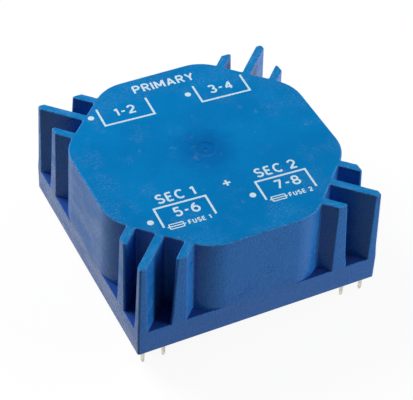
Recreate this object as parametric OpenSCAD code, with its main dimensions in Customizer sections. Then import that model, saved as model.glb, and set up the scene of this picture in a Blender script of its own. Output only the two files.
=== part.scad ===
// Encapsulated toroidal transformer for a circuit board.
// A finned plastic cup, open underneath, holds a wound ring core in potting resin.
// Eight pins pressed into the cup's corners carry the ends of two primaries and two secondaries.
// Z = 0 is the seating plane, the rim of the cup: the pins reach below it.

/* [Housing] */
// Side of the square base band
base_side = 60; // [56:0.5:72]
// Height of the base band, from the seating rim up to the ledge
ledge_h = 6.6; // [6:0.1:9]
// Height of the housing, from the seating rim up to its top face
body_h = 26; // [23:0.5:40]
// Side wall
wall = 1.2; // [0.9:0.1:1.4]
// Top wall
roof = 1.5; // [1:0.1:3]
// Wall over the corners of the base band
ledge_wall = 1.4; // [1:0.1:2]
// Mould draft of every upright face above the ledge, in degrees
draft = 1.4; // [0.5:0.1:2.5]
// Step back from the base band to the faces above it
ledge_step = 0.1; // [0.05:0.05:0.5]
// How far each corner is cut back above the ledge, along the diagonal
corner_cut = 12.2; // [10:0.1:14]
// Radius of the eight upright corners above the ledge, at the top
corner_r = 10; // [4:0.5:14]
// Radius of the base band's four upright edges
band_edge_r = 0.5; // [0.2:0.1:2]

/* [Cooling fins] */
// Fins at each corner
fins_per_corner = 3; // [1:2:3]
// Thickness of a fin at its top
fin_t = 2; // [1.2:0.1:2.6]
// Distance between the middles of two fins
fin_pitch = 6.7; // [5.5:0.1:7.5]
// Radius of the top edge at the outer end of a fin
fin_nose_r = 1; // [0.3:0.1:2]

/* [Gate mark] */
// Diameter of the round recess that the moulding gate leaves in the top
gate_d = 4.9; // [3:0.1:8]
// Depth of the recess
gate_depth = 0.2; // [0.1:0.05:0.5]
// Diameter of the stub left in the middle
gate_stub_d = 0.9; // [0.5:0.1:2]
// Distance from the top face down to the stub's end
gate_stub_sink = 0.05; // [0.01:0.01:0.09]

/* [Pins] */
// Diameter of a pin
pin_d = 0.9; // [0.6:0.05:1.1]
// Length of a pin below the seating plane
pin_out = 5; // [3:0.5:8]
// Length of the pin's rounded end
pin_end_h = 0.9; // [0.4:0.1:2.5]
// Diameter of the flat at the pin's tip
pin_tip_d = 0.3; // [0.1:0.05:0.5]
// Distance between the two pins at a corner
pin_pitch = 5.08; // [3.81:0.01:7.62]
// Distance from each corner pin to the outer face of the base band
pin_edge = 2.06; // [1.96:0.01:3]
// Diameter over the ribs of a pin's shank, which starts at the seating plane
pin_shank_d = 1.2; // [1.15:0.05:1.3]
// Ribs round the shank
pin_ribs = 8; // [6:2:12]
// Depth of the blind hole that a shank is pressed into
pin_seat = 2.8; // [2:0.1:3.2]
// Radial play of a shank's ribs in the hole
pin_play = 0.02; // [0.01:0.01:0.1]
// Height of the pin boss's lower face above the seating plane
boss_z = 3; // [2.8:0.1:3.5]
// Wall of a boss round its pin's shank
boss_wall = 1.2; // [0.8:0.1:2]

/* [Wound ring] */
// Resin between the wound ring and the side wall
ring_side_gap = 0.8; // [0.5:0.1:3]
// Resin between the wound ring and the top wall
ring_top_gap = 1; // [0.5:0.1:3]
// Height of the wound ring's underside above the seating plane
ring_z = 3.2; // [3:0.1:5]
// Diameter of the wound ring's open middle
ring_bore_d = 13; // [8:0.5:18]
// Radius of the wound ring's edges
ring_edge_r = 3.6; // [2:0.1:4.5]
// Build-up in the middle, where the turns crowd, over the build-up outside
bore_build = 2.2; // [1:0.1:2.6]
// Tape over the finished ring
outer_tape_t = 0.2; // [0.1:0.05:0.5]
// Each secondary winding
secondary_t = 0.7; // [0.4:0.05:0.9]
// Insulating barrier between primaries and secondaries
barrier_t = 0.3; // [0.2:0.05:0.6]
// Each primary winding
primary_t = 0.5; // [0.3:0.05:0.7]
// Wrap between the core and the first winding
core_wrap_t = 0.4; // [0.2:0.05:0.8]

/* [Leads] */
// Diameter of a sleeved lead
lead_d = 1; // [0.7:0.05:1.1]
// Height of a lead's run above the seating plane
lead_z = 1.9; // [1.7:0.1:2]
// Bend of a lead under the ring, to its middle
lead_bend_r = 1; // [0.8:0.05:1.2]
// Distance from the ring's outside in to where a lead leaves it
lead_inset = 5; // [4.8:0.1:8]
// Angle by which the two leads of a winding spread, each way, in degrees
lead_spread = 6; // [3:0.5:12]
// Play of a lead in the holes of the layers that it passes
lead_play = 0.05; // [0.02:0.01:0.15]
// Diameter of a soldered joint
solder_d = 1.5; // [1.4:0.05:1.6]
// Height of a soldered joint
solder_h = 1.6; // [1.3:0.1:1.8]

/* [Resin] */
// Depth of the resin's face inside the rim
resin_sink = 0.4; // [0.2:0.1:0.9]

/* [Hidden] */
$fn = 64;
overlap = 0.5;
// A corner's cone stands this much proud of the walls that it joins, so that it crosses them
corner_lap = 0.01;
arc_steps = 8;
nose_steps = 4;
band_half = base_side / 2;
upper_half = band_half - ledge_step;
slope = tan(draft);
band_roof_z = ledge_h - ledge_wall;
roof_z = body_h - roof;

// Half width of the housing across its flats at a height above the ledge
function flat_at(z) = upper_half - (z - ledge_h) * slope;

// Centres of the upright corners: the same at every height, so that the draft shrinks only the radius.
// They are found from the flats and the diagonals, and their reach is measured towards the corners.
half_octant = 360 / 16;
corner_flat = flat_at(body_h) - corner_r;
corner_diagonal = base_side / sqrt(2) - corner_cut - (body_h - ledge_h) * slope - corner_r;
corner_side = corner_diagonal * sqrt(2) - corner_flat;
corner_reach = corner_flat * cos(half_octant) + corner_side * sin(half_octant);
corner_centres = [
    for (q = [0:3], p = [[corner_flat, corner_side], [corner_side, corner_flat]])
        [p.x * cos(90 * q) - p.y * sin(90 * q), p.x * sin(90 * q) + p.y * cos(90 * q)]
];

pin_half = band_half - pin_edge;
pin_columns = [-pin_half, pin_pitch - pin_half, pin_half - pin_pitch, pin_half];
pin_top_z = boss_z + pin_seat;
boss_half_x = pin_half - pin_pitch - pin_shank_d / 2 - boss_wall;
boss_half_y = pin_half - pin_shank_d / 2 - boss_wall;

ring_r = flat_at(roof_z) - wall - ring_side_gap;
ring_top_z = roof_z - ring_top_gap;
lead_ring_r = ring_r - lead_inset;

// The ring's layers from the outside in, their thicknesses, and how deep each one starts
LAYERS = [
    "outer_tape", "secondary_b", "secondary_a", "barrier", "primary_b", "primary_a", "core_wrap", "core"
];
layer_t = [
    outer_tape_t, secondary_t, secondary_t, barrier_t, primary_t, primary_t, core_wrap_t
];
function layer_at(name) = search([name], LAYERS)[0];
function depth(layer) = layer == 0 ? 0 : depth(layer - 1) + layer_t[layer - 1];

// The winding that each pair of pins belongs to, in the order of the pins
pair_winding = ["primary_a", "primary_b", "secondary_a", "secondary_b"];
PINS = [0:7];
function pin_layer(i) = layer_at(pair_winding[floor(i / 2)]);

// Pins 1 to 4 are the back row and 5 to 8 the front row, each from left to right
function pin_at(i) = [pin_columns[i % 4], i < 4 ? pin_half : -pin_half];

// Where a pin's lead leaves the ring, beside the straight line from the middle to the pin
function is_corner_pin(i) = i % 4 == 0 || i % 4 == 3;
function lead_angle(i) =
    let (p = pin_at(i))
    atan2(abs(p.y), abs(p.x)) + (is_corner_pin(i) ? -lead_spread : lead_spread);
function lead_start(i) =
    let (p = pin_at(i))
    lead_ring_r * [sign(p.x) * cos(lead_angle(i)), sign(p.y) * sin(lead_angle(i))];

// Corner points of a rectangle whose corners are rounded
function rounded_rectangle(low, high, r) = [
    for (q = [0:3])
        for (k = [0:arc_steps])
            let (
                a = 90 * (q + k / arc_steps),
                x = q == 0 || q == 3 ? high.x - r : low.x + r,
                y = q < 2 ? high.y - r : low.y + r
            )
            [x + r * cos(a), y + r * sin(a)]
];

// Square prism of the base band, or of the space inside it
module band_prism(half, r, z0, z1) {
    translate([0, 0, z0])
        linear_extrude(z1 - z0)
            polygon(rounded_rectangle([-half, -half], [half, half], r));
}

// Octagon with rounded corners and drafted sides, set in from the outer faces.
// Slabs cut its flats, its diagonals and the chords of its corners, and a cone then rounds each corner.
module drafted_octagon(z0, z1, set_in) {
    r0 = corner_r + (body_h - z0) * slope - set_in;
    r1 = corner_r + (body_h - z1) * slope - set_in;
    intersection_for (k = [0:7]) {
        is_chord = k % 2 == 1;
        share = is_chord ? cos(half_octant) : 1;
        reach = is_chord ? corner_reach : k % 4 == 0 ? corner_flat : corner_diagonal;
        half0 = reach + share * r0;
        half1 = reach + share * r1;
        rotate([0, 0, half_octant * k])
            translate([0, base_side, 0])
                rotate([90, 0, 0])
                    linear_extrude(2 * base_side)
                        polygon([[-half0, z0], [half0, z0], [half1, z1], [-half1, z1]]);
    }
    for (k = [0:7])
        translate(concat(corner_centres[k], z0))
            rotate([0, 0, half_octant * (2 * k + 1) + 180])
                cylinder(h = z1 - z0, r1 = r0 + corner_lap, r2 = r1 + corner_lap);
}

// Wall that stands on the ledge and grows thinner to its top on both sides
module drafted_wall(half_top, length) {
    h = body_h - ledge_h;
    half_ledge = half_top + h * slope;
    translate([0, 0, ledge_h])
        rotate([90, 0, 90])
            linear_extrude(length)
                polygon([[-half_ledge, 0], [half_ledge, 0], [half_top, h], [-half_top, h]]);
}

// Square block above the ledge that the fins' ends are flush with, with its top edges rounded
module drafted_square() {
    nose_z = body_h - fin_nose_r;
    nose_x = flat_at(nose_z) - fin_nose_r / cos(draft);
    nose = [
        for (k = [0:nose_steps])
            let (a = draft + (90 - draft) * k / nose_steps)
            [nose_x + fin_nose_r * cos(a), nose_z + fin_nose_r * sin(a)]
    ];
    opposite = [for (k = [nose_steps:-1:0]) [-nose[k].x, nose[k].y]];
    foot = [[-upper_half, ledge_h], [upper_half, ledge_h]];
    intersection_for (turn = [0, 90])
        rotate([0, 0, turn])
            translate([-base_side, 0, 0])
                rotate([90, 0, 90])
                    linear_extrude(2 * base_side)
                        polygon(concat(foot, nose, opposite));
}

module fins() {
    reach = base_side / sqrt(2) - corner_diagonal;
    middle = (fins_per_corner - 1) / 2;
    intersection() {
        for (corner = [45:90:315], k = [0:fins_per_corner - 1])
            rotate([0, 0, corner])
                translate([corner_diagonal, (k - middle) * fin_pitch, 0])
                    drafted_wall(fin_t / 2, reach);
        drafted_square();
    }
}

// Space inside the housing, above a given height
module cavity(z0) {
    band_prism(band_half - wall, band_edge_r, z0, band_roof_z);
    drafted_octagon(band_roof_z - overlap, roof_z, wall);
}

// Blocks that hold the pins, one in each corner under the ledge
module pin_bosses() {
    outer = band_half - wall / 2;
    for (sx = [0, 1], sy = [0, 1])
        mirror([sx, 0, 0])
            mirror([0, sy, 0])
                translate([boss_half_x, boss_half_y, boss_z])
                    cube([
                        outer - boss_half_x,
                        outer - boss_half_y,
                        ledge_h - ledge_wall / 2 - boss_z
                    ]);
}

// Recess of the moulding gate, with the stub left standing in it
module gate_mark() {
    translate([0, 0, body_h - gate_depth])
        difference() {
            cylinder(h = gate_depth + overlap, d = gate_d);
            translate([0, 0, -overlap])
                cylinder(h = overlap + gate_depth - gate_stub_sink, d = gate_stub_d);
        }
}

module housing() {
    color("#0074bc")
        difference() {
            union() {
                difference() {
                    union() {
                        band_prism(band_half, band_edge_r, 0, ledge_h);
                        drafted_octagon(ledge_h, body_h, 0);
                        fins();
                    }
                    cavity(-overlap);
                }
                pin_bosses();
            }
            for (i = PINS)
                translate(concat(pin_at(i), boss_z - overlap))
                    cylinder(h = pin_seat + overlap, r = pin_shank_d / 2 + pin_play);
            gate_mark();
        }
}

// Outline of the ring's section at a depth below its finished surface
module ring_section(d) {
    polygon(rounded_rectangle(
        [ring_bore_d / 2 + bore_build * d, ring_z + d],
        [ring_r - d, ring_top_z - d],
        max(ring_edge_r - d, outer_tape_t)
    ));
}

module ring_solid(layer) {
    rotate_extrude()
        ring_section(depth(layer));
}

// One layer of the ring, with holes for the leads that come out of the layers inside it
module ring_layer(layer) {
    difference() {
        rotate_extrude()
            difference() {
                ring_section(depth(layer));
                ring_section(depth(layer + 1));
            }
        for (i = PINS)
            if (pin_layer(i) > layer)
                translate(concat(lead_start(i), ring_z - overlap))
                    cylinder(
                        h = depth(pin_layer(i)) + overlap,
                        r = lead_d / 2 + lead_play
                    );
    }
}

module core() {
    color("#70757c")
        ring_solid(layer_at("core"));
}

module core_wrap() {
    color("#d9c27a")
        ring_layer(layer_at("core_wrap"));
}

module primary_winding_a() {
    color("#a4481e")
        ring_layer(layer_at("primary_a"));
}

module primary_winding_b() {
    color("#b5562a")
        ring_layer(layer_at("primary_b"));
}

module barrier_tape() {
    color("#e0cf95")
        ring_layer(layer_at("barrier"));
}

module secondary_winding_a() {
    color("#b8632f")
        ring_layer(layer_at("secondary_a"));
}

module secondary_winding_b() {
    color("#c57038")
        ring_layer(layer_at("secondary_b"));
}

module outer_tape() {
    color("#e8d9a0")
        ring_layer(layer_at("outer_tape"));
}

// Ribbed shank of a pin between two heights
module pin_shank(i, z0, z1) {
    translate(concat(pin_at(i), z0))
        cylinder(h = z1 - z0, d = pin_shank_d, $fn = pin_ribs);
}

// Straight pin with a rounded end, pressed into its boss by its shank
module pin(i) {
    rounded_end = [
        for (k = [0:arc_steps])
            let (a = 90 * k / arc_steps)
            [pin_tip_d / 2 + (pin_d - pin_tip_d) / 2 * sin(a), pin_end_h * (1 - cos(a))]
    ];
    color("#c9c8c0") {
        translate(concat(pin_at(i), -pin_out))
            rotate_extrude()
                polygon(concat([[0, 0]], rounded_end, [[pin_d / 2, pin_out], [0, pin_out]]));
        pin_shank(i, 0, pin_top_z);
    }
}

// Lead that drops from its winding, bends under the ring and runs to its pin
module lead_path(i) {
    start = lead_start(i);
    way = pin_at(i) - start;
    bend_z = lead_z + lead_bend_r;
    translate(concat(start, 0))
        rotate([0, 0, atan2(way.y, way.x)]) {
            translate([0, 0, bend_z])
                cylinder(h = ring_z + depth(pin_layer(i)) - bend_z, d = lead_d);
            translate([lead_bend_r, 0, bend_z])
                rotate([90, 0, 0])
                    rotate([0, 0, 180])
                        rotate_extrude(angle = 90)
                            translate([lead_bend_r, 0])
                                circle(d = lead_d);
            translate([lead_bend_r, 0, lead_z])
                rotate([0, 90, 0])
                    cylinder(h = norm(way) - lead_bend_r, d = lead_d);
        }
}

module lead(i) {
    color(i < 4 ? "#303338" : "#b0292b")
        difference() {
            lead_path(i);
            translate(concat(pin_at(i), 0))
                cylinder(h = boss_z, d = solder_d);
        }
}

// Barrel of solder round a pin's shank, where the lead's bare end is wrapped
module solder_barrel(i) {
    translate(concat(pin_at(i), lead_z - solder_h / 2))
        cylinder(h = solder_h, d = solder_d);
}

module solder_joints() {
    color("#b4b6ba")
        for (i = PINS)
            difference() {
                solder_barrel(i);
                pin_shank(i, 0, pin_top_z);
            }
}

// Resin that fills the housing round everything inside it
module potting_resin() {
    color("#1d2a44")
        difference() {
            cavity(resin_sink);
            pin_bosses();
            ring_solid(layer_at("outer_tape"));
            for (i = PINS) {
                lead_path(i);
                solder_barrel(i);
                pin_shank(i, 0, pin_top_z);
            }
        }
}

housing();
potting_resin();
core();
core_wrap();
primary_winding_a();
primary_winding_b();
barrier_tape();
secondary_winding_a();
secondary_winding_b();
outer_tape();
solder_joints();
for (i = PINS) pin(i);
for (i = PINS) lead(i);
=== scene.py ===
import itertools
import math

import bmesh
import bpy
from mathutils import Matrix, Vector
from mathutils.geometry import delaunay_2d_cdt


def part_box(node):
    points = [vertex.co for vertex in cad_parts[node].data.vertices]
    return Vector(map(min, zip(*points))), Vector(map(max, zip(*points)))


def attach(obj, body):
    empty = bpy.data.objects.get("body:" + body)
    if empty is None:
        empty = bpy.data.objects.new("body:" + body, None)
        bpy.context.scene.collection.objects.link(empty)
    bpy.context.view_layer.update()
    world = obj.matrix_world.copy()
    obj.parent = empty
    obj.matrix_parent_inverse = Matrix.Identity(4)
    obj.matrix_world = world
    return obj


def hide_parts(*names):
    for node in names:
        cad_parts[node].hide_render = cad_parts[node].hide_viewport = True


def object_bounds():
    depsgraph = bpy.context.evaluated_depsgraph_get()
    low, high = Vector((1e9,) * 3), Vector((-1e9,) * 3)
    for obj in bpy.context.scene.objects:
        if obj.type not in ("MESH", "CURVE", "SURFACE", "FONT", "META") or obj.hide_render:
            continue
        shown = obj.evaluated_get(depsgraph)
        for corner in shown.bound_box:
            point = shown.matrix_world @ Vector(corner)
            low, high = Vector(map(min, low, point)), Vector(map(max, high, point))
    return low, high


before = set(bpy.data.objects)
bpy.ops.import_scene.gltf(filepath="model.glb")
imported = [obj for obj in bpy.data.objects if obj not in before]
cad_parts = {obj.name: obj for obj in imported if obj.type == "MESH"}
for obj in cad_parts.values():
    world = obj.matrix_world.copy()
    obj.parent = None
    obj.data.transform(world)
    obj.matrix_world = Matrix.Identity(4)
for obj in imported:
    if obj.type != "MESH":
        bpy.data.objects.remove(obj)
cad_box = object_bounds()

# Ring core. A long strip of electrical steel is wound into a ring like a roll of tape and spot-welded at
# its end, so its flat faces show the strip's edges as fine circles and its outside the strip's rolled face.
MM = 0.001
PER_MM = 1 / MM


class Socket:
    """One output of a material's nodes. Sums and products of sockets add Math nodes."""

    def __init__(self, finish, output):
        self.finish = finish
        self.output = output

    def __add__(self, other):
        return self.finish.math("ADD", self, other)

    def __sub__(self, other):
        return self.finish.math("SUBTRACT", self, other)

    def __rsub__(self, other):
        return self.finish.math("SUBTRACT", other, self)

    def __mul__(self, other):
        return self.finish.math("MULTIPLY", self, other)

    __radd__ = __add__
    __rmul__ = __mul__


class Finish:
    """A material or the room's light: constants go straight to its shader, and what varies is fed to it."""

    def __init__(self, name, constants, kind=bpy.data.materials, shader="Principled BSDF"):
        self.material = kind.new(name)
        self.material.use_nodes = True
        self.nodes = self.material.node_tree.nodes
        self.shader = self.nodes[shader]
        for socket, value in constants.items():
            self.shader.inputs[socket].default_value = value

    def put(self, target, value):
        if isinstance(value, Socket):
            self.material.node_tree.links.new(value.output, target)
        else:
            target.default_value = value

    def feed(self, socket, value):
        self.put(self.shader.inputs[socket], value)

    def node(self, kind, settings, inputs, output=0):
        node = self.nodes.new(kind)
        for name, value in settings.items():
            setattr(node, name, value)
        for name, value in inputs.items():
            self.put(node.inputs[name], value)
        return Socket(self, node.outputs[output])

    def math(self, operation, a, b=0.0):
        return self.node("ShaderNodeMath", {"operation": operation}, {0: a, 1: b})

    def smooth(self, value, low, high):
        """0 below low, 1 above high, and a soft step between."""
        settings = {"interpolation_type": "SMOOTHSTEP"}
        return self.node("ShaderNodeMapRange", settings, {"Value": value, "From Min": low, "From Max": high})

    def mix(self, share, a, b):
        """A colour that goes from a to b."""
        return self.node("ShaderNodeMix", {"data_type": "RGBA"}, {"Factor": share, 6: a, 7: b}, 2)

    def place(self):
        """The point on the surface, in millimetres."""
        point = self.node("ShaderNodeTexCoord", {}, {}, "Object")
        return self.stretch(point, (PER_MM, PER_MM, PER_MM))

    def stretch(self, vector, factors):
        return self.node("ShaderNodeVectorMath", {"operation": "MULTIPLY"}, {0: vector, 1: factors})

    def split(self, vector):
        return [self.node("ShaderNodeSeparateXYZ", {}, {"Vector": vector}, axis) for axis in "XYZ"]

    def noise(self, vector, scale, detail=2.0):
        return self.node("ShaderNodeTexNoise", {}, {"Vector": vector, "Scale": scale, "Detail": detail})

    def seen(self):
        """1 where the camera, a reflection or clear plastic sees it, and 0 where it only sheds light."""
        kinds = ("Camera", "Glossy", "Transmission")
        rays = [self.node("ShaderNodeLightPath", {}, {}, f"Is {kind} Ray") for kind in kinds]
        return self.math("MINIMUM", rays[0] + rays[1] + rays[2], 1.0)

    def bump(self, height, depth, below=None):
        """A relief of that depth in metres, laid over another one."""
        inputs = {"Height": height, "Distance": depth}
        if below:
            inputs["Normal"] = below
        return self.node("ShaderNodeBump", {}, inputs)


def srgb(red, green, blue):
    """The colour that a screen shows with these values from 0 to 255."""
    return [*(((c / 255 + 0.055) / 1.055) ** 2.4 if c > 10 else c / 3294 for c in (red, green, blue)), 1.0]


def dress(finish, *names):
    """Gives CAD nodes a finish."""
    for name in names:
        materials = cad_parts[name].data.materials
        materials.clear()
        materials.append(finish.material)


strip_pitch = 0.35
core_steel = Finish("core_steel", {"Metallic": 1.0})
point = core_steel.place()
x, y = core_steel.split(point)[:2]
radius = core_steel.math("SQRT", x * x + y * y)
strip_edge = core_steel.math("SINE", radius * (2 * math.pi / strip_pitch))
rolled = core_steel.noise(core_steel.stretch(point, (0.6, 0.6, 6.0)), 1.0, 4.0)
core_steel.feed("Base Color", core_steel.mix(rolled, srgb(120, 122, 126), srgb(176, 178, 182)))
core_steel.feed("Roughness", rolled * 0.2 + 0.3)
core_steel.feed("Normal", core_steel.bump(strip_edge + rolled, 0.03 * MM))
dress(core_steel, "core")

# Insulation. Thin polyester film is wound over the core, between the windings and over the finished ring,
# each turn lapping the last by about half its width, so the laps show as slanting steps round the ring.
laps = 46
lap_slant = 0.04
film = Finish("insulating_tape", {"IOR": 1.6})
point = film.place()
x, y, z = film.split(point)
turn = film.math("ARCTAN2", y, x) * (laps / (2 * math.pi)) + z * lap_slant
lap = film.math("FRACT", turn)
clouding = film.noise(point, 0.8, 3.0)
film.feed("Base Color", film.mix(lap * 0.5 + clouding * 0.5, srgb(196, 160, 70), srgb(232, 208, 128)))
film.feed("Roughness", clouding * 0.2 + 0.22)
film.feed("Normal", film.bump(lap, 0.12 * MM))
dress(film, "core_wrap", "barrier_tape", "outer_tape")

# Windings. Enamelled copper wire is wound through the ring, two primaries of finer wire and two secondaries
# of thicker wire, in turns that lie side by side outside and crowd in the middle.
for winding, turns, enamel in (
    ("primary_winding_a", 520, srgb(150, 62, 24)),
    ("primary_winding_b", 520, srgb(164, 74, 30)),
    ("secondary_winding_a", 300, srgb(184, 92, 40)),
    ("secondary_winding_b", 300, srgb(196, 104, 48)),
):
    copper = Finish(winding, {"Metallic": 0.9, "Coat Weight": 0.6, "Coat Roughness": 0.12})
    point = copper.place()
    x, y = copper.split(point)[:2]
    turn = copper.math("ARCTAN2", y, x) * (turns / (2 * math.pi))
    across = copper.math("FRACT", turn + copper.noise(point, 0.35) * 1.5) * 2 - 1
    wire = 1 - across * across
    shade = copper.noise(point, 1.4, 3.0)
    # Each turn darkens towards its edges: painted shade in the grooves between turns
    copper.feed("Base Color", copper.mix(wire * shade, srgb(70, 26, 10), enamel))
    copper.feed("Roughness", shade * 0.2 + 0.2)
    copper.feed("Normal", copper.bump(wire, 0.3 * MM))
    dress(copper, winding)

# Housing. One moulding of satin blue plastic, open underneath: a square base band, a round-cornered octagon
# above it, and three drafted fins at each corner that end flush with the band. Blocks in the band's corners
# hold the pins, and the top has the gate's mark.
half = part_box("housing")[1].x
print_t = 0.03 * MM
top_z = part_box("housing")[1].z - print_t
ledge_z = 6.6 * MM
band_roof_z = 5.2 * MM
roof_z = 24.5 * MM
wall = 1.2 * MM
block_x = 21.06 * MM
block_y = 26.14 * MM
block_z = 3 * MM
pin_x = 25.4 * MM
pin_y = 27.94 * MM
pin_pitch = 5.08 * MM
pin_hole_r = 0.62 * MM
pin_hole_top = 5.8 * MM
flat_top = 29.43 * MM
diagonal_top = 29.75 * MM
corner_r = 10 * MM
fin_half_top = 1 * MM
fin_pitch = 6.7 * MM
fin_tip_r = 0.45 * MM
fin_root_r = 0.4 * MM
band_edge_r = 0.5 * MM
top_edge_r = 0.4 * MM
fin_edge_r = 0.25 * MM
fin_nose_r = 0.4 * MM
fin_nose_reach = 1 * MM
rim_edge_r = 0.2 * MM
ledge_edge_r = 0.2 * MM
cove_h = 4 * MM
draft = math.tan(math.radians(1.4))
step_back = half - flat_top - draft * (top_z - ledge_z)
plan_step = 1 * MM
arc_step = 0.6 * MM
least_arc_r = 2 * MM
edge_blend = 1 * MM
sink_depth = 0.07 * MM
sink_half = 8 * MM
dish_r = 8 * MM
dish_depth = 0.06 * MM
gate_r = 2.45 * MM
gate_depth = 0.14 * MM
gate_edge = 0.15 * MM
gate_stub_r = 0.72 * MM
gate_stub_h = 0.05 * MM
gate_pit = 0.18 * MM


def outline(corners, grow=()):
    """Points round a closed plan with rounded corners, each as (place, drift, normal).
    corners are (point, radius). A point moves by its drift for each metre that the faces move out. In the
    corners listed in grow the radius takes part in that, and in the others it stays the same."""
    points = []
    for i, (corner, r) in enumerate(corners):
        before = corners[i - 1][0]
        after = corners[(i + 1) % len(corners)][0]
        way_in = (corner - before).normalized()
        way_out = (after - corner).normalized()
        normal_in = Vector((way_in.y, -way_in.x))
        normal_out = Vector((way_out.y, -way_out.x))
        turn = math.atan2(way_in.cross(way_out), way_in.dot(way_out))
        side = math.copysign(1, turn)
        miter = (normal_in + normal_out) / (1 + normal_in.dot(normal_out))
        centre = corner - miter * r * side
        steps = max(3, math.ceil(abs(turn) * max(r, least_arc_r) / arc_step))
        for k in range(steps + 1):
            normal = Matrix.Rotation(turn * k / steps, 2) @ normal_in
            points.append((centre + normal * r * side, normal if i in grow else miter, normal))
        next_r = corners[(i + 1) % len(corners)][1]
        start = points[-1][0]
        onward = corners[(i + 2) % len(corners)][0]
        next_turn = way_out.angle(onward - after)
        stop = after - way_out * next_r * math.tan(next_turn / 2)
        pieces = max(1, round((stop - start).length / plan_step))
        for k in range(1, pieces):
            points.append((start.lerp(stop, k / pieces), normal_out, normal_out))
    return points


def on_diagonal(along, across):
    """A plan point given by its distances along and across the first quarter's diagonal."""
    return Vector((along - across, along + across)) / math.sqrt(2)


def quarter_corners():
    """Corners of the housing's plan at its top, in the first quarter, with their radii."""
    beside = diagonal_top * math.sqrt(2) - flat_top
    corners = [(Vector((flat_top, beside)), corner_r)]
    for middle in (-fin_pitch, 0, fin_pitch):
        ends = [middle - fin_half_top, middle + fin_half_top]
        roots = [on_diagonal(diagonal_top, across) for across in ends]
        tips = [on_diagonal(flat_top * math.sqrt(2) - abs(across), across) for across in ends]
        corners += [(roots[0], fin_root_r), (tips[0], fin_tip_r)]
        if middle == 0:
            corners.append((Vector((flat_top, flat_top)), band_edge_r))
        corners += [(tips[1], fin_tip_r), (roots[1], fin_root_r)]
    return corners + [(Vector((beside, flat_top)), corner_r)]


def octagon_corners(set_in):
    """Corners of the housing's octagon at its top, set in from its faces."""
    flat = flat_top - set_in
    beside = (diagonal_top - set_in) * math.sqrt(2) - flat
    first = [(Vector((flat, beside)), corner_r - set_in), (Vector((beside, flat)), corner_r - set_in)]
    return [(Matrix.Rotation(math.pi / 2 * q, 2) @ p, r) for q in range(4) for p, r in first]


def skirt(bm, lower, upper):
    """Faces between two rings of as many points."""
    for i in range(len(lower)):
        j = (i + 1) % len(lower)
        bm.faces.new((lower[i], lower[j], upper[j], upper[i]))


def ring(bm, points, z, spread):
    """A ring of points at one height, with the faces moved out by spread."""
    return [bm.verts.new((*(place + drift * spread), z)) for place, drift, normal in points]


def circle(bm, r, z, steps=72, x=0.0, y=0.0):
    """A ring of points at one height on a circle."""
    angles = [2 * math.pi * k / steps for k in range(steps)]
    return [bm.verts.new((x + r * math.cos(a), y + r * math.sin(a), z)) for a in angles]


def bow(x, y, half_w, half_h, start, stop, steps=14):
    """Points of an elliptic arc, with its ends' angles in degrees."""
    angles = [math.radians(start + (stop - start) * k / steps) for k in range(steps + 1)]
    return [(x + half_w * math.cos(a), y + half_h * math.sin(a)) for a in angles]


def fill(bm, *rings):
    """A flat face inside one ring, with the other rings as its holes."""
    edges = []
    for points in rings:
        for a, b in zip(points, points[1:] + points[:1]):
            edges.append(bm.edges.get((a, b)) or bm.edges.new((a, b)))
    bmesh.ops.triangle_fill(bm, use_beauty=True, edges=edges)


def soft_step(share):
    """0 below 0, 1 above 1, and a soft step between."""
    share = min(max(share, 0), 1)
    return share * share * (3 - 2 * share)


smooth_angle = math.radians(40)


def piece(name, bm, finish):
    """Makes a mesh object of the part and lets it ride on the part's one body."""
    bmesh.ops.recalc_face_normals(bm, faces=bm.faces)
    mesh = bpy.data.meshes.new(name)
    bm.to_mesh(mesh)
    bm.free()
    mesh.shade_smooth()
    mesh.set_sharp_from_angle(angle=smooth_angle)
    mesh.materials.append(finish.material)
    made = bpy.data.objects.new(name, mesh)
    bpy.context.scene.collection.objects.link(made)
    weighted = made.modifiers.new("weighted normals", "WEIGHTED_NORMAL")
    weighted.keep_sharp = True
    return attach(made, "root")


bm = bmesh.new()
quarter = quarter_corners()
corners = [(Matrix.Rotation(math.pi / 2 * q, 2) @ p, r) for q in range(4) for p, r in quarter]
plan = outline(corners, [i for i, (p, r) in enumerate(corners) if r == corner_r])

# Heights of the walls' rings, with how far the draft and the cove at the ledge spread them
levels = []
cove_steps = 6
for k in range(cove_steps):
    share = k / cove_steps
    z = ledge_z + cove_h * share
    levels.append((z, draft * (top_z - z) + step_back * (1 - soft_step(share))))
wall_steps = 12
for k in range(wall_steps):
    z = ledge_z + cove_h + (top_z - fin_nose_r - ledge_z - cove_h) * k / wall_steps
    levels.append((z, draft * (top_z - z)))
nose_steps = 8
for k in range(nose_steps + 1):
    z = top_z - fin_nose_r * (1 - math.sin(math.pi / 2 * k / nose_steps))
    levels.append((z, draft * (top_z - z)))


def rounding(r, z):
    """How far the top edge is set in at a height by a radius."""
    low = max(z - (top_z - r), 0)
    return r - math.sqrt(max(r * r - low * low, 0))


def edge_shift(place, normal, z):
    """How far the top edge's rounding moves a point: in from the walls, and along the fins at their ends."""
    axis = Vector((math.copysign(1, place.x), math.copysign(1, place.y))) / math.sqrt(2)
    along = place.dot(axis)
    across = abs(place.cross(axis))
    beyond = along - diagonal_top
    if across > fin_pitch + 1.1 * fin_half_top or beyond < 0:
        return normal * -rounding(top_edge_r, z)
    r = top_edge_r + (fin_edge_r - top_edge_r) * soft_step(beyond / edge_blend)
    to_tip = flat_top * math.sqrt(2) - across - along
    nose = soft_step(1 - to_tip / fin_nose_reach) * math.sqrt(2) * rounding(fin_nose_r, z)
    faces_out = min(max(normal.dot(axis) * math.sqrt(2), 0), 1)
    return normal * -rounding(r, z) * (1 - faces_out * soft_step(1 - to_tip / edge_blend)) - axis * nose


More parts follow.
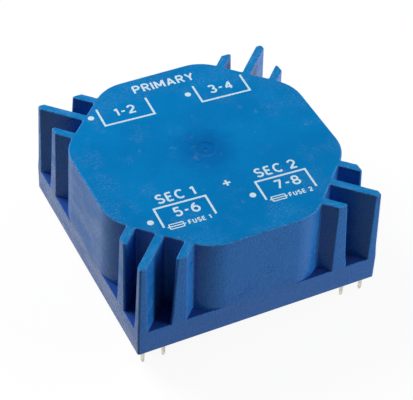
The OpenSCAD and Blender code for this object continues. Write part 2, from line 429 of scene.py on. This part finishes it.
def wall_sink(place, z):
    """How far the cooling plastic has drawn a flat in, at a point of it."""
    across = min(abs(place.x), abs(place.y))
    if max(abs(place.x), abs(place.y)) < flat_top - edge_blend or across > sink_half:
        return 0
    up = (z - ledge_z - cove_h / 2) / (top_z - ledge_z - cove_h / 2)
    if not 0 < up < 1:
        return 0
    return sink_depth * math.cos(math.pi / 2 * across / sink_half) ** 2 * math.sin(math.pi * up) ** 2


wall_rings = []
for z, spread in levels:
    wall_rings.append([])
    for place, drift, normal in plan:
        moved = place + drift * spread - normal * wall_sink(place, z) + edge_shift(place, normal, z)
        wall_rings[-1].append(bm.verts.new((*moved, z)))
for lower, upper in zip(wall_rings, wall_rings[1:]):
    skirt(bm, lower, upper)

# The band's side carries on the fins' ends and the flats. Between them the ledge has a rounded edge, which
# starts a lead away from a flat or a fin and grows to its full radius over a ramp.
flat_reach = 10 * MM
flat_lead = 1.2 * MM
flat_ramp = 3 * MM
fin_lead = 0.25 * MM
fin_ramp = 0.45 * MM
ledge_ring = wall_rings[0]
tolerance = 0.01 * MM


def is_flush(v):
    """Whether a point of the walls' foot lies in the band's side."""
    a, b = sorted((abs(v.co.x), abs(v.co.y)))
    return b > half - tolerance or a > half - band_edge_r - tolerance


normals = {v: normal for v, (place, drift, normal) in zip(ledge_ring, plan)}
first = next(i for i, v in enumerate(ledge_ring) if is_flush(v) and not is_flush(ledge_ring[i - 1]))
turned = ledge_ring[first:] + ledge_ring[:first]
runs = [(flush, list(group)) for flush, group in itertools.groupby(turned, is_flush)]
band = []
pockets = []
for i, (flush, run) in enumerate(runs):
    if flush:
        band += [(v.co.xy, normals[v], 0, v) for v in run]
        continue
    start = runs[i - 1][1][-1]
    stop = runs[(i + 1) % len(runs)][1][0]
    way = (stop.co - start.co).xy.normalized()
    out = Vector((way.y, -way.x))
    edge = []
    for end, onward in ((start, way), (stop, -way)):
        beside_flat = min(abs(end.co.x), abs(end.co.y)) < flat_reach
        lead, ramp = (flat_lead, flat_ramp) if beside_flat else (fin_lead, fin_ramp)
        edge.append([(end.co.xy + onward * lead, 0), (end.co.xy + onward * (lead + ramp), 1)])
    for place, share in edge[0] + edge[1][::-1]:
        lip = bm.verts.new((*(place - out * ledge_edge_r * share), ledge_z))
        band.append((place, out, share, lip))
    pockets.append([start] + [b[3] for b in band[-4:]] + [stop] + run[::-1])
band_rings = [[lip for place, out, share, lip in band]]
edge_steps = 4
for k in range(1, edge_steps + 1):
    a = math.pi / 2 * (1 - k / edge_steps)
    z = ledge_z - ledge_edge_r * (1 - math.sin(a))
    set_in = ledge_edge_r * (1 - math.cos(a))
    band_rings.append([bm.verts.new((*(p - out * set_in * share), z)) for p, out, share, lip in band])
for k in range(edge_steps + 1):
    a = math.pi / 2 * k / edge_steps
    z = rim_edge_r * (1 - math.sin(a))
    set_in = rim_edge_r * (1 - math.cos(a))
    band_rings.append([bm.verts.new((*(p - out * set_in), z)) for p, out, share, lip in band])
for upper, lower in zip(band_rings, band_rings[1:]):
    skirt(bm, lower, upper)
for pocket in pockets:
    bm.faces.new(pocket)

# The space inside: the band's square, with a block in each corner that has blind holes for two pins
inside = half - wall
hole_steps = 24
rim_ring = []
foot_ring = []
block_ring = []
for side_x, side_y in ((1, -1), (1, 1), (-1, 1), (-1, -1)):
    ends = [(side_x * block_x, side_y * inside), (side_x * inside, side_y * block_y)]
    if side_x == side_y:
        ends.reverse()
    middle = [side * (inside - band_edge_r) for side in (side_x, side_y)]
    turn = math.degrees(math.atan2(side_y, side_x)) - 45
    around = [ends[0], *bow(*middle, band_edge_r, band_edge_r, turn, turn + 90), ends[1]]
    foot = [bm.verts.new((*p, block_z)) for p in around]
    block = [foot[0], bm.verts.new((side_x * block_x, side_y * block_y, block_z)), foot[-1]]
    holes = []
    for side in (-1, 1):
        hole_x = side_x * pin_x + side * pin_pitch / 2
        low = circle(bm, pin_hole_r, block_z, hole_steps, hole_x, side_y * pin_y)
        high = circle(bm, pin_hole_r, pin_hole_top, hole_steps, hole_x, side_y * pin_y)
        skirt(bm, low, high)
        fill(bm, high)
        holes.append(low)
    fill(bm, foot + [block[1]], *holes)
    rim_ring += [bm.verts.new((*p, 0)) for p in around]
    foot_ring += foot
    block_ring += block
roof_ring = [bm.verts.new((*v.co.xy, band_roof_z)) for v in block_ring]
skirt(bm, rim_ring, foot_ring)
skirt(bm, block_ring, roof_ring)
fill(bm, band_rings[-1], rim_ring)

# Above the band's roof the space is an octagon
octagon = outline(octagon_corners(wall), range(8))
octagon_rings = [ring(bm, octagon, z, draft * (top_z - z)) for z in (band_roof_z, roof_z)]
skirt(bm, *octagon_rings)
fill(bm, roof_ring, octagon_rings[0])
fill(bm, octagon_rings[1])

# The top sinks a little round the gate, whose mark is a shallow recess with a torn-out stub in it
gate_rings = []
dish_steps = 6
for k in range(dish_steps + 1):
    share = k / dish_steps
    r = dish_r + (gate_r + gate_edge - dish_r) * share
    gate_rings.append(circle(bm, r, top_z - dish_depth * soft_step(share)))
gate_floor_z = top_z - dish_depth - gate_depth
for r, z in (
    (gate_r + gate_edge * 0.3, top_z - dish_depth - gate_depth * 0.15),
    (gate_r, top_z - dish_depth - gate_depth * 0.6),
    (gate_r - gate_edge * 0.7, gate_floor_z),
    (gate_stub_r * 1.5, gate_floor_z),
    (gate_stub_r * 1.15, gate_floor_z + gate_stub_h),
    (gate_stub_r * 0.95, gate_floor_z + gate_stub_h),
    (gate_stub_r * 0.4, gate_floor_z - gate_pit),
    (gate_stub_r * 0.15, gate_floor_z - gate_pit),
):
    gate_rings.append(circle(bm, r, z))
for outer, inner in zip(gate_rings, gate_rings[1:]):
    skirt(bm, outer, inner)
fill(bm, wall_rings[-1], gate_rings[0])
fill(bm, gate_rings[-1])

blue = srgb(0, 114, 178)
cloud_blue = srgb(2, 121, 186)
deep_blue = srgb(0, 92, 160)
worn_blue = srgb(84, 156, 212)
# The walls', band's and ledge's blues are painted shade: deeper and more indigo than the top's blue
wall_shade_blue = srgb(2, 108, 186)
band_shade_blue = srgb(4, 98, 180)
ledge_shade_and_mottle_blue = srgb(42, 74, 148)
lilac = srgb(128, 158, 208)
plastic = Finish("housing_plastic", {"IOR": 1.5, "Specular IOR Level": 0.2})
point = plastic.place()
x, y, z = plastic.split(point)
nz = plastic.split(plastic.node("ShaderNodeNewGeometry", {}, {}, "Normal"))[2]

# Where the surface is high up, near the gate or faces up, and how far it lies along and across the diagonals
high = plastic.smooth(z, 16.0, 20.0)
ax = plastic.math("ABSOLUTE", x)
ay = plastic.math("ABSOLUTE", y)
along = (ax + ay) * math.sqrt(0.5)
across = (ax - ay) * math.sqrt(0.5)
radius = plastic.math("SQRT", x * x + y * y)
at_gate = 1 - plastic.smooth(radius, 3.0, 5.0)
faces_up = plastic.math("MAXIMUM", plastic.smooth(nz, 0.8, 0.98), at_gate)

# Clouded blue above, darkening round the gate, and painted shade below: a deeper blue on the walls that
# darkens towards the bottom, and a dark indigo on the ledge
clouds = plastic.smooth(plastic.noise(point, 0.1, 3.0), 0.35, 0.68)
halo = 1 - plastic.smooth(radius + plastic.noise(point, 0.25, 2.0) * 6, 4.5, 13.0)
grain = plastic.noise(point, 2.6, 4.0)
top_colour = plastic.mix(clouds * 0.8, blue, cloud_blue)
top_colour = plastic.mix(halo * 0.8, top_colour, deep_blue)
# The ledge low in the slots, facing up, gets the dark indigo as painted shade
top_colour = plastic.mix(high, ledge_shade_and_mottle_blue, top_colour)
wall_shade_colour = plastic.mix(plastic.smooth(z, 3.0, 15.0), band_shade_blue, wall_shade_blue)
colour = plastic.mix(faces_up, wall_shade_colour, top_colour)

# Scuffs: streaks along the fins' tops, paler edges round the top that are partly worn and partly a painted
# highlight, clustered specks and smudges
streak_place = plastic.node("ShaderNodeCombineXYZ", {}, {"X": across * 2.4, "Y": along * 0.3, "Z": z * 0.2})
streaks = plastic.noise(streak_place, 1.0, 3.0)
on_fin = plastic.smooth(along, 29.2, 30.4) * faces_up * high
on_edge = plastic.smooth(nz, 0.12, 0.45) * (1 - plastic.smooth(nz, 0.9, 0.99))
# Pale edges round the top: partly wear, partly a painted highlight along the rounding
worn_and_highlit_edge = on_edge * plastic.smooth(radius, 20.0, 24.0) * high
colour = plastic.mix(on_fin * plastic.smooth(streaks + grain * 0.5, 0.68, 1.0) * 0.34, colour, worn_blue)
colour = plastic.mix(worn_and_highlit_edge * grain * 0.8, colour, worn_blue)
outward = plastic.smooth(radius, 10.0, 34.0)
patches = plastic.smooth(plastic.noise(point, 0.17, 2.0) + outward * 0.2, 0.56, 0.78)
specks = plastic.smooth(plastic.noise(point, 2.2, 6.0), 0.42, 0.78) * patches * faces_up * high
smudges = plastic.smooth(plastic.noise(point, 0.45, 4.0), 0.65, 0.8) * faces_up * high
colour = plastic.mix(specks * 0.2 + smudges * 0.2, colour, lilac)
colour = plastic.mix(plastic.smooth(grain, 0.4, 0.75) * (0.14 - faces_up * 0.13), colour, lilac)
# The same indigo darkens the walls in a grainy mottle
colour = plastic.mix(plastic.smooth(grain, 0.55, 0.3) * (0.65 - faces_up * 0.6), colour, ledge_shade_and_mottle_blue)
worn = plastic.smooth(plastic.noise(plastic.stretch(point, (0.12, 0.12, 0.3)), 1.0, 3.0), 0.35, 0.65)
colour = plastic.mix(worn * (0.07 - faces_up * 0.07), colour, lilac)
plastic.feed("Base Color", colour)

# The top is smoother than the walls, which carry the mould's grain and marks of being drawn from it
matt = plastic.smooth(z, 4.0, 12.0) * 0.1 + worn * 0.16 - faces_up * 0.12
plastic.feed("Roughness", 0.125 + matt + grain * 0.1 + on_fin * 0.08 + specks * 0.1)
draw_marks = plastic.noise(plastic.stretch(point, (3.0, 3.0, 0.12)), 1.0, 2.0) * (1 - faces_up)
relief = plastic.bump(plastic.noise(point, 0.5, 2.0), 0.05 * MM)
relief = plastic.bump(draw_marks, 0.015 * MM, relief)
relief = plastic.bump(grain * (1 - faces_up * 0.5), 0.09 * MM, relief)
plastic.feed("Normal", relief)
housing = piece("moulded_housing", bm, plastic)
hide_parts("housing")

# Pins. Eight lengths of tinned wire with a ribbed shank, pressed into the housing's corner blocks. Their
# ends are rounded off after cutting, which leaves a duller, darker tip.
tip_z = cad_box[0][2] * PER_MM
tinned = Finish("tinned_wire", {"Metallic": 1.0})
point = tinned.place()
z = tinned.split(point)[2]
dull = tinned.noise(point, 2.5, 4.0)
drawn = tinned.noise(tinned.stretch(point, (6.0, 6.0, 0.8)), 1.0, 2.0)
cut = 1 - tinned.smooth(z + dull * 0.4, tip_z + 0.2, tip_z + 0.5)
tinned_colour = tinned.mix(dull, srgb(240, 238, 230), srgb(212, 208, 194))
# Dark streaks along the shank: partly draw marks, partly a painted dark reflection down the pins' sides
tinned_colour = tinned.mix(tinned.smooth(drawn, 0.42, 0.62) * 0.6, tinned_colour, srgb(140, 132, 112))
tinned.feed("Base Color", tinned.mix(cut * 0.6, tinned_colour, srgb(120, 110, 92)))
tinned.feed("Roughness", dull * 0.2 + 0.22 + cut * 0.2)
tinned.feed("Normal", tinned.bump(drawn + dull, 0.02 * MM))
dress(tinned, *(f"pin_{i}" for i in range(1, 9)))

# Leads. The ends of the windings, in plastic sleeves: dark ones on the primaries and red ones on the
# secondaries. Each drops from its winding, bends under the ring and runs to its pin.
for sleeve, dark, light, leads in (
    ("primary_sleeve", srgb(26, 26, 28), srgb(48, 48, 52), range(1, 5)),
    ("secondary_sleeve", srgb(140, 20, 22), srgb(176, 38, 36), range(5, 9)),
):
    vinyl = Finish(sleeve, {"IOR": 1.5})
    point = vinyl.place()
    mottle = vinyl.noise(point, 1.8, 3.0)
    vinyl.feed("Base Color", vinyl.mix(mottle, dark, light))
    vinyl.feed("Roughness", mottle * 0.2 + 0.35)
    vinyl.feed("Normal", vinyl.bump(mottle, 0.03 * MM))
    dress(vinyl, *(f"lead_{i}" for i in leads))

# Soldered joints. The bare end of each lead is wrapped round its pin's shank and held there by a small
# barrel of tin solder, whose skin has frosted as it set.
solder = Finish("solder", {"Metallic": 1.0})
point = solder.place()
frost = solder.noise(point, 3.0, 4.0)
solder.feed("Base Color", solder.mix(frost, srgb(190, 192, 196), srgb(150, 152, 156)))
solder.feed("Roughness", frost * 0.25 + 0.18)
solder.feed("Normal", solder.bump(frost, 0.04 * MM))
dress(solder, "solder_joints")

# Potting resin. Filled resin is poured in from below with the housing upside down, and sets with a faintly
# wavy, glossy face a little inside the rim.
resin = Finish("potting_resin", {"IOR": 1.55})
point = resin.place()
x, y = resin.split(point)[:2]
ax = resin.math("ABSOLUTE", x)
ay = resin.math("ABSOLUTE", y)
waves = resin.noise(point, 0.12, 2.0)
filler = resin.noise(point, 4.0, 3.0)

# It creeps up the walls and the pins, and a few bubbles have burst in it
to_wall = (half - wall) * PER_MM - resin.math("MAXIMUM", ax, ay)
beside_pin = resin.math("ABSOLUTE", ax - pin_x * PER_MM) - pin_pitch / 2 * PER_MM
before_pin = ay - pin_y * PER_MM
to_pin = resin.math("SQRT", beside_pin * beside_pin + before_pin * before_pin)
creep = 2 - resin.smooth(to_wall, 0.0, 1.6) - resin.smooth(to_pin, 0.4, 1.5)
cell = resin.node("ShaderNodeTexVoronoi", {}, {"Vector": point, "Scale": 0.22}, "Distance")
bubbles = 1 - resin.smooth(cell, 0.06, 0.13)
resin_colour = resin.mix(filler * 0.6 + waves * 0.4, srgb(26, 30, 40), srgb(54, 60, 74))
resin.feed("Base Color", resin.mix(bubbles * 0.5, resin_colour, srgb(14, 16, 22)))
resin.feed("Roughness", filler * 0.15 + waves * 0.15 + 0.15)
relief = resin.bump(waves + filler * 0.02, 0.4 * MM)
relief = resin.bump(creep, 0.4 * MM, relief)
resin.feed("Normal", resin.bump(0 - bubbles, 0.15 * MM, relief))
dress(resin, "potting_resin")

# Print. White ink is stamped on the top in one go, turned and shifted a little as such prints are: a
# bracket for each winding with its pin numbers, a dot at each winding's start, the windings' names, a plus
# sign and two fuse signs.
print_turn = math.radians(-2.5)
print_shift = Vector((-0.1, 0.7)) * MM
print_sink = 0.02 * MM
print_low = top_z - print_sink
print_high = top_z + print_t
stroke_w = 0.5 * MM
letter_w = 0.5 * MM
letter_h = 3 * MM
letter_gap = 0.16
thin_w = 0.28 * MM
small_letter_h = 1.4 * MM
bracket_w = 12.3 * MM
bracket_leg = 6.1 * MM
bracket_x = 12.2 * MM
bracket_y = 18 * MM
numbers_rise = 0.5 * MM
numbers_shift = 0.6 * MM
name_rise = 5.6 * MM
dot_r = 0.75 * MM
dot_gap = 2.2 * MM
dot_rise = 0.6 * MM
dot_steps = 30
fuse_shift = 3.3 * MM
fuse_drop = 3.4 * MM
fuse_end = 1.65 * MM
fuse_side = 0.7 * MM
fuse_wire = 0.5 * MM
fuse_name_shift = 2.1 * MM
primary_y = 24.6 * MM
plus_y = -12.9 * MM
plus_arm = 0.9 * MM

# Middle lines of the strokes of each sign, 1 high, each as (its width, its strokes)
stem = [(0, 0), (0, 1)]
p_bowl = [(0, 1), *bow(0.3, 0.75, 0.27, 0.25, 90, -90), (0, 0.5)]
signs = {
    "1": (0.24, [[(0.24, 0), (0.24, 1)], [(0, 0.78), (0.26, 0.97)]]),
    "2": (0.6, [[*bow(0.29, 0.71, 0.28, 0.29, 165, -30), (0.03, 0.05)], [(-0.07, 0), (0.6, 0)]]),
    "3": (0.58, [bow(0.28, 0.75, 0.26, 0.25, 150, -90), bow(0.28, 0.25, 0.3, 0.25, 90, -150)]),
    "4": (0.64, [[(0.46, 0), (0.46, 1)], [(0.44, 0.95), (0.02, 0.3)], [(-0.05, 0.27), (0.64, 0.27)]]),
    "5": (0.58, [[(0.02, 1), (0.54, 1)], [(0.1, 1), (0.06, 0.5)], bow(0.28, 0.31, 0.3, 0.31, 140, -150)]),
    "6": (0.62, [bow(0.31, 0.31, 0.31, 0.31, -180, 180, 28), bow(0.56, 0.33, 0.56, 0.67, 100, 180)]),
    "7": (0.58, [[(0, 1), (0.64, 1)], [(0.57, 0.96), (0.18, 0)]]),
    "8": (0.62, [bow(0.31, 0.75, 0.26, 0.25, -90, 270, 28), bow(0.31, 0.25, 0.31, 0.25, 90, 450, 28)]),
    "-": (0.34, [[(0, 0.45), (0.34, 0.45)]]),
    " ": (0.1, []),
    "A": (0.7, [[(0, 0), (0.34, 0.98)], [(0.7, 0), (0.36, 0.98)], [(0.14, 0.3), (0.56, 0.3)]]),
    "C": (0.66, [bow(0.38, 0.5, 0.38, 0.5, 48, 312, 20)]),
    "E": (0.5, [stem, [(0, 1), (0.5, 1)], [(0, 0.52), (0.44, 0.52)], [(0, 0), (0.5, 0)]]),
    "F": (0.5, [stem, [(0, 1), (0.5, 1)], [(0, 0.52), (0.44, 0.52)]]),
    "I": (0, [stem]),
    "M": (0.8, [stem, [(0.8, 0), (0.8, 1)], [(0.02, 0.96), (0.41, 0.2)], [(0.78, 0.96), (0.39, 0.2)]]),
    "P": (0.57, [stem, p_bowl]),
    "R": (0.58, [stem, p_bowl, [(0.28, 0.5), (0.58, 0)]]),
    "S": (0.6, [bow(0.3, 0.75, 0.27, 0.25, 32, 270), bow(0.3, 0.25, 0.3, 0.25, 90, -152)]),
    "U": (0.58, [[(0, 1), *bow(0.29, 0.29, 0.29, 0.29, 180, 360), (0.58, 1)]]),
    "Y": (0.66, [[(0, 1), (0.33, 0.44)], [(0.66, 1), (0.33, 0.44)], [(0.33, 0.48), (0.33, 0)]]),
}
shapes = []


def ink_line(points, width):
    """A printed line of one width with mitred corners."""
    points = [Vector(p) for p in points]
    ways = [(b - a).normalized() for a, b in zip(points, points[1:])]
    sides = [Vector((-w.y, w.x)) for w in ways]
    miters = [sides[0]]
    for a, b in zip(sides, sides[1:]):
        miters.append((a + b) / (1 + a.dot(b)))
    miters.append(sides[-1])
    left = [p + m * width / 2 for p, m in zip(points, miters)]
    right = [p - m * width / 2 for p, m in zip(points, miters)]
    for i in range(len(ways)):
        shapes.append([right[i], right[i + 1], left[i + 1], left[i]])


def ink_text(words, x, y, height, width):
    """Printed words in strokes of one width, with their middle at a point."""
    scale = height - width
    gap = width + letter_gap * scale
    x -= (sum(signs[c][0] for c in words) * scale + (len(words) - 1) * gap) / 2
    for c in words:
        for stroke in signs[c][1]:
            ink_line([(x + px * scale, y + (py - 0.5) * scale) for px, py in stroke], width)
        x += signs[c][0] * scale + gap


for side_x, side_y, numbers in ((-1, 1, "1-2"), (1, 1, "3-4"), (-1, -1, "5-6"), (1, -1, "7-8")):
    x = side_x * bracket_x
    low_y = side_y * (bracket_y - bracket_leg / 2)
    high_y = side_y * (bracket_y + bracket_leg / 2)
    left = x - bracket_w / 2
    right = x + bracket_w / 2
    ink_line([(left, high_y), (left, low_y), (right, low_y), (right, high_y)], stroke_w)
    dot = bow(left - dot_gap, side_y * (bracket_y + dot_rise), dot_r, dot_r, 0, 360, dot_steps)[:-1]
    shapes.append([Vector(p) for p in dot])
    if side_y > 0:
        ink_text(numbers, x, bracket_y + numbers_rise, letter_h, letter_w)
        continue
    secondary = 1 if side_x < 0 else 2
    ink_text(numbers, x + numbers_shift, -bracket_y + numbers_rise, letter_h, letter_w)
    ink_text(f"SEC {secondary}", x, -bracket_y + name_rise, letter_h, letter_w)
    fuse_x = x - fuse_shift
    fuse_y = -bracket_y - fuse_drop
    ink_line([(fuse_x - fuse_end - fuse_wire, fuse_y), (fuse_x + fuse_end + fuse_wire, fuse_y)], thin_w)
    for side in (-1, 1):
        end_x = fuse_x + side * fuse_end
        edge_y = fuse_y + side * fuse_side
        ink_line([(end_x, fuse_y - fuse_side), (end_x, fuse_y + fuse_side)], thin_w)
        ink_line([(fuse_x - fuse_end, edge_y), (fuse_x + fuse_end, edge_y)], thin_w)
    ink_text(f"FUSE {secondary}", x + fuse_name_shift, fuse_y, small_letter_h, thin_w)
ink_text("PRIMARY", 0, primary_y, letter_h, letter_w)
for arm_x, arm_y in ((plus_arm, 0), (0, plus_arm)):
    ink_line([(-arm_x, plus_y - arm_y), (arm_x, plus_y + arm_y)], letter_w)

# All the strokes melt into one layer of ink: the triangles that any stroke covers, between two heights
corners = [Vector(p) for shape in shapes for p in shape]
counts = list(itertools.accumulate((len(shape) for shape in shapes), initial=0))
loops = [list(range(a, b)) for a, b in zip(counts, counts[1:])]
only_inside = 1
melt_distance = 1e-7
spots, _, triangles, _, _, covers = delaunay_2d_cdt(corners, [], loops, only_inside, melt_distance)
inked = [t for t, cover in zip(triangles, covers) if cover]
ink_bm = bmesh.new()
stamp = Matrix.Translation((*print_shift, 0)) @ Matrix.Rotation(print_turn, 4, "Z")
layers = [[ink_bm.verts.new(stamp @ Vector((*p, z))) for p in spots] for z in (print_low, print_high)]
sides = {(t[i], t[i - 1]) for t in inked for i in range(3)}
for t in inked:
    ink_bm.faces.new([layers[0][i] for i in t[::-1]])
    ink_bm.faces.new([layers[1][i] for i in t])
for b, a in sides:
    if (a, b) not in sides:
        ink_bm.faces.new((layers[0][a], layers[0][b], layers[1][b], layers[1][a]))
bmesh.ops.delete(ink_bm, geom=[v for v in ink_bm.verts if not v.link_faces], context="VERTS")
ink = Finish("print_ink", {"IOR": 1.45})
point = ink.place()
thin_ink = ink.noise(point, 1.2, 4.0)
pinholes = ink.smooth(ink.noise(point, 6.0, 2.0), 0.66, 0.74)
ink_colour = ink.mix(thin_ink, srgb(216, 232, 240), srgb(178, 208, 224))
ink.feed("Base Color", ink.mix(pinholes * 0.5, ink_colour, srgb(90, 160, 205)))
ink.feed("Roughness", thin_ink * 0.2 + 0.45)
top_print = piece("top_print", ink_bm, ink)

# Floor. A plain white sheet that the part stands on by its pins. It shines by itself to the camera and in
# reflections, so that it stays white, and keeps a faint shadow of the part.
floor_side = 6.0
floor_z = cad_box[0][2]
own_light = 0.925
bm = bmesh.new()
bmesh.ops.create_grid(bm, x_segments=1, y_segments=1, size=floor_side / 2)
bmesh.ops.translate(bm, verts=bm.verts, vec=(0, 0, floor_z))
floor_mesh = bpy.data.meshes.new("floor")
bm.to_mesh(floor_mesh)
bm.free()
floor = bpy.data.objects.new("floor", floor_mesh)
bpy.context.scene.collection.objects.link(floor)
sheet = Finish("floor_sheet", {"Roughness": 0.9, "Specular IOR Level": 0.0})
seen = sheet.seen()
sheet.feed("Base Color", sheet.mix(seen, srgb(115, 115, 115), srgb(250, 250, 250)))
shine = sheet.node("ShaderNodeEmission", {}, {"Color": (1, 1, 1, 1), "Strength": 1.0})
lit = Socket(sheet, sheet.shader.outputs["BSDF"])
surface = sheet.node("ShaderNodeMixShader", {}, {0: seen * own_light, 1: lit, 2: shine})
sheet.put(sheet.nodes["Material Output"].inputs["Surface"], surface)
floor_mesh.materials.append(sheet.material)

# Studio. A large soft light stands behind the part on the left, a weak one on its right and a low one
# before its right corner. The room is dim, apart from a white backdrop all round, which is low enough to
# stay out of the top's reflection.
for lamp, side, power, place in (
    ("key_light", 0.27, 2.87, Vector((-0.20, 0.30, 0.34))),
    ("side_light", 0.27, 0.5, Vector((0.35, -0.06, 0.275))),
    ("fill_light", 0.18, 1.5, Vector((0.345, -0.30, 0.09))),
):
    softbox = bpy.data.lights.new(lamp, "AREA")
    softbox.shape = "SQUARE"
    softbox.size = side
    softbox.energy = power
    softbox_object = bpy.data.objects.new(lamp, softbox)
    softbox_object.visible_camera = False
    softbox_object.visible_glossy = False
    softbox_object.location = place
    softbox_object.rotation_euler = place.to_track_quat("Z", "Y").to_euler()
    bpy.context.scene.collection.objects.link(softbox_object)
room = Finish("room", {"Color": (1, 1, 1, 1)}, bpy.data.worlds, "Background")
height = room.split(room.node("ShaderNodeTexCoord", {}, {}, "Generated"))[2]
backdrop = 1 - room.smooth(height, 0.05, 0.38)
camera_ray = room.node("ShaderNodeLightPath", {}, {}, "Is Camera Ray")
dim = 0.065
room.feed("Strength", room.math("MAXIMUM", camera_ray, room.seen() * backdrop * (1 - dim) + dim))
bpy.context.scene.world = room.material

# Camera. A long lens looks down on the part from the front left. Its angles, distance and framing are fitted
# to the housing's corners and edges.
frame_w = 413
azimuth = math.radians(-27.501)
elevation = math.radians(43.177)
roll = math.radians(2.677)
distance = 370.371 * MM
focus_px = 1582.5
centre_px = (-3.0, -6.51)
aim = Vector((0, 0, 12 * MM))
back = Vector((
    math.sin(azimuth) * math.cos(elevation), -math.cos(azimuth) * math.cos(elevation), math.sin(elevation)
))
right = Vector((math.cos(azimuth), math.sin(azimuth), 0))
up = back.cross(right)
across = right * math.cos(roll) + up * math.sin(roll)
upward = up * math.cos(roll) - right * math.sin(roll)
camera = bpy.data.cameras.new("camera")
camera.sensor_fit = "HORIZONTAL"
camera.sensor_width = 36
camera.lens = focus_px * camera.sensor_width / frame_w
camera.shift_x = -centre_px[0] / frame_w
camera.shift_y = centre_px[1] / frame_w
camera.clip_start = 0.01
camera_object = bpy.data.objects.new("camera", camera)
facing = Matrix((across, upward, back)).transposed().to_4x4()
camera_object.matrix_world = Matrix.Translation(aim + back * distance) @ facing
bpy.context.scene.collection.objects.link(camera_object)
bpy.context.scene.camera = camera_object
bpy.context.scene.view_settings.view_transform = "Standard"
